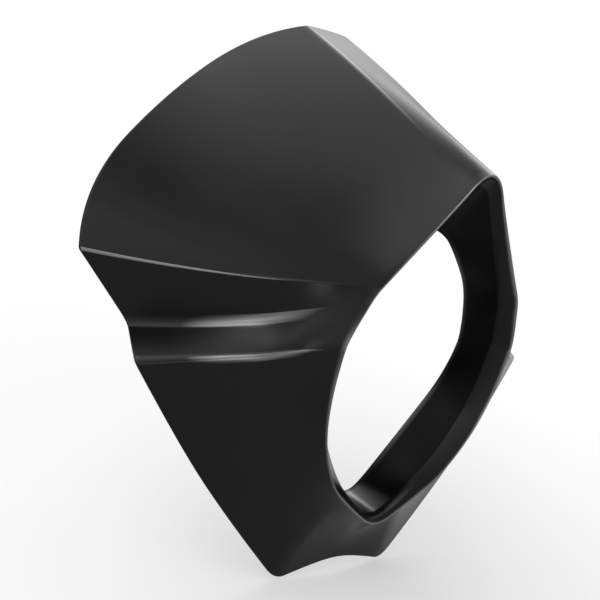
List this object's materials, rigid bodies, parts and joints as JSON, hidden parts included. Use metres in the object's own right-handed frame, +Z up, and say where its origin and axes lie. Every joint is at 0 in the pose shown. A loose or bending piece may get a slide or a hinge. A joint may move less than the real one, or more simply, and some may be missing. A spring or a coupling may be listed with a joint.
{
  "type": "headlight cowl",
  "caption": "Angular motorbike headlight cowl: a moulded shell flaring back from a rounded lamp opening, with creased side wings, a peaked crown, a chin and an inner collar round the lamp.",
  "frame": {"origin": "middle of the lamp opening, in the plane of the front rim", "axes": "+Z up, -Y the way the lamp looks, +Y towards the rider, X across the bike"},
  "size_m": [0.3466, 0.1586, 0.2916],
  "materials": {
    "black_plastic": "satin black moulded plastic"
  },
  "bodies": {
    "root": {"cowl_shell": "black_plastic"}
  },
  "joints": []
}
